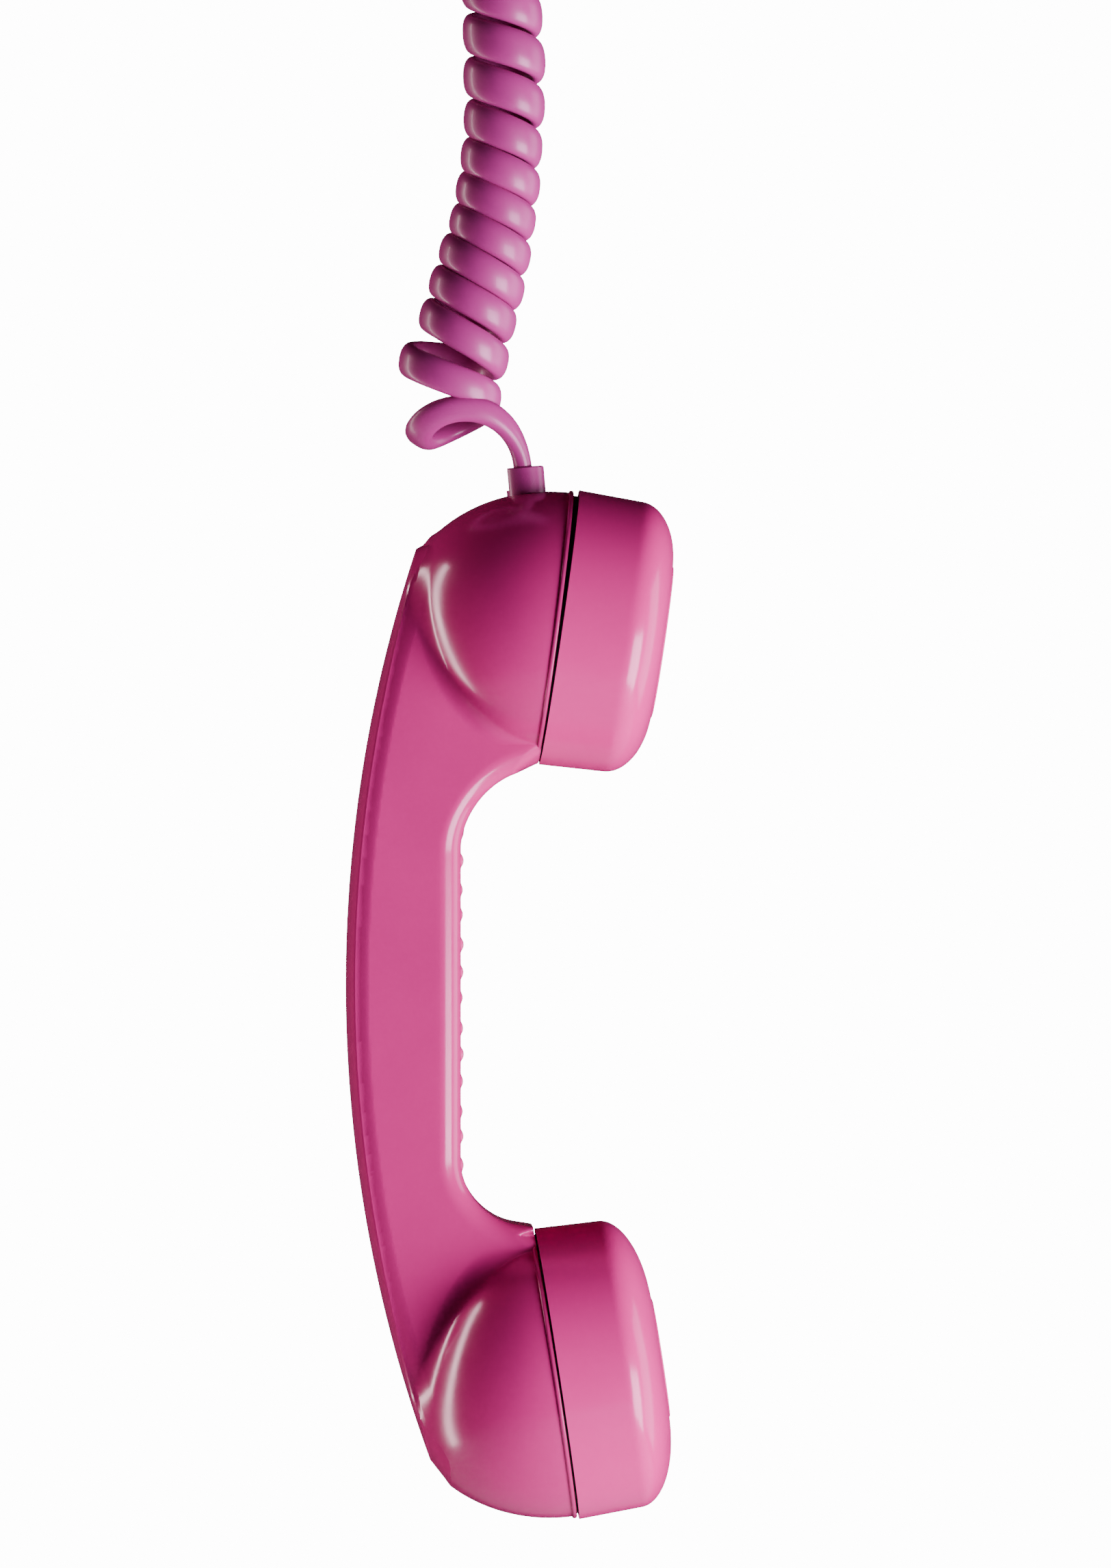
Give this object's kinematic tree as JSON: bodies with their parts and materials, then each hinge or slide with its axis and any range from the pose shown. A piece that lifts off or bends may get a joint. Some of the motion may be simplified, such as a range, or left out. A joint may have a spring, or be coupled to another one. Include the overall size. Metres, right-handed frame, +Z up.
{
  "type": "telephone handset with curly cord",
  "caption": "One-piece telephone handset with a ribbed grip and two screw caps, hung by a curly cord from a modular plug.",
  "frame": {"origin": "the middle of the modular plug's flat nose, which is the top of the hanging cord", "axes": "+Z up along the plug and the hanging cord; both screwed caps face +X; the handset is symmetric about the XZ plane"},
  "size_m": [0.0711, 0.0638, 0.3682],
  "materials": {
    "pink_plastic": "glossy moulded plastic, pink, fine moulding texture",
    "pink_vinyl": "soft satin vinyl, a slightly cooler pink",
    "clear_plastic": "clear moulded plastic",
    "gold_contact": "bright plated blades",
    "brass": "plain turned and pressed brass",
    "spring_bronze": "rolled spring strip",
    "steel": "plated steel",
    "magnet_alloy": "ground cast magnet",
    "aluminium": "pressed aluminium, satin",
    "black_plastic": "dull black moulding",
    "gasket_rubber": "soft black rubber",
    "membrane_film": "thin translucent film",
    "copper_winding": "enamelled copper wire",
    "felt": "grey felt",
    "carbon": "black granules",
    "varistor_coat": "dipped epoxy",
    "wire_red": "PVC insulation",
    "wire_black": "PVC insulation",
    "wire_white": "PVC insulation",
    "wire_green": "PVC insulation"
  },
  "bodies": {
    "handset": {"handset_shell": "pink_plastic", "cord_collar": "pink_vinyl", "cord_anchor": "brass", "contact_holder": "black_plastic", "centre_contact": "spring_bronze", "ring_contact": "spring_bronze", "holder_screws": "steel", "transmitter_lead_red": "wire_red", "transmitter_lead_black": "wire_black", "receiver_lead_white": "wire_white", "receiver_lead_green": "wire_green", "sound_damper": "felt", "cord_tail": "pink_vinyl", "cord_coil": "pink_vinyl", "cord_lead_in": "pink_vinyl", "plug_body": "clear_plastic", "plug_contacts": "gold_contact"},
    "mouth_capsule": {"transmitter_housing": "aluminium", "mouth_gasket": "gasket_rubber", "transmitter_grille": "aluminium", "transmitter_membrane": "membrane_film", "transmitter_diaphragm": "aluminium", "diaphragm_ring": "gasket_rubber", "front_electrode": "brass", "chamber_washer": "felt", "carbon_granules": "carbon", "back_electrode": "brass", "electrode_insulator": "black_plastic"},
    "mouth_cap": {"mouthpiece_cap": "pink_plastic"},
    "ear_capsule": {"receiver_housing": "black_plastic", "ear_gasket": "gasket_rubber", "receiver_grille": "aluminium", "receiver_cloth": "felt", "receiver_diaphragm": "membrane_film", "receiver_armature": "steel", "armature_spacer": "black_plastic", "receiver_magnet": "magnet_alloy", "pole_piece": "steel", "receiver_coil": "copper_winding", "receiver_terminal_plate": "black_plastic", "receiver_terminal_screws": "steel", "receiver_lugs": "brass", "varistor": "varistor_coat"},
    "ear_cap": {"earpiece_cap": "pink_plastic"},
    "plug_latch": {"plug_latch": "clear_plastic"}
  },
  "joints": [
    {"name": "mouth_capsule_lift", "type": "slide", "parent": "handset", "child": "mouth_capsule", "axis": [0.9895, 0, -0.1444], "range_m": [0, 0.0045]},
    {"name": "mouth_cap_turn", "type": "hinge", "parent": "mouth_capsule", "child": "mouth_cap", "pos_m": [0.0128, 0, -0.1746], "axis": [0.9895, 0, -0.1444], "range_deg": [0, 540]},
    {"name": "ear_capsule_lift", "type": "slide", "parent": "handset", "child": "ear_capsule", "axis": [0.9885, 0, 0.1513], "range_m": [0, 0.0045]},
    {"name": "ear_cap_turn", "type": "hinge", "parent": "ear_capsule", "child": "ear_cap", "pos_m": [0.0123, 0, -0.3366], "axis": [0.9885, 0, 0.1513], "range_deg": [0, 540]},
    {"name": "latch_press", "type": "hinge", "parent": "handset", "child": "plug_latch", "pos_m": [0, 0.00395, -0.0011], "axis": [-1, 0, 0], "range_deg": [0, 9], "stiffness_Nm_per_rad": 0.02}
  ],
  "couplings": [
    {"joint": "mouth_capsule_lift", "follows": "mouth_cap_turn", "m_per_rad": 0.00047746},
    {"joint": "ear_capsule_lift", "follows": "ear_cap_turn", "m_per_rad": 0.00047746}
  ]
}
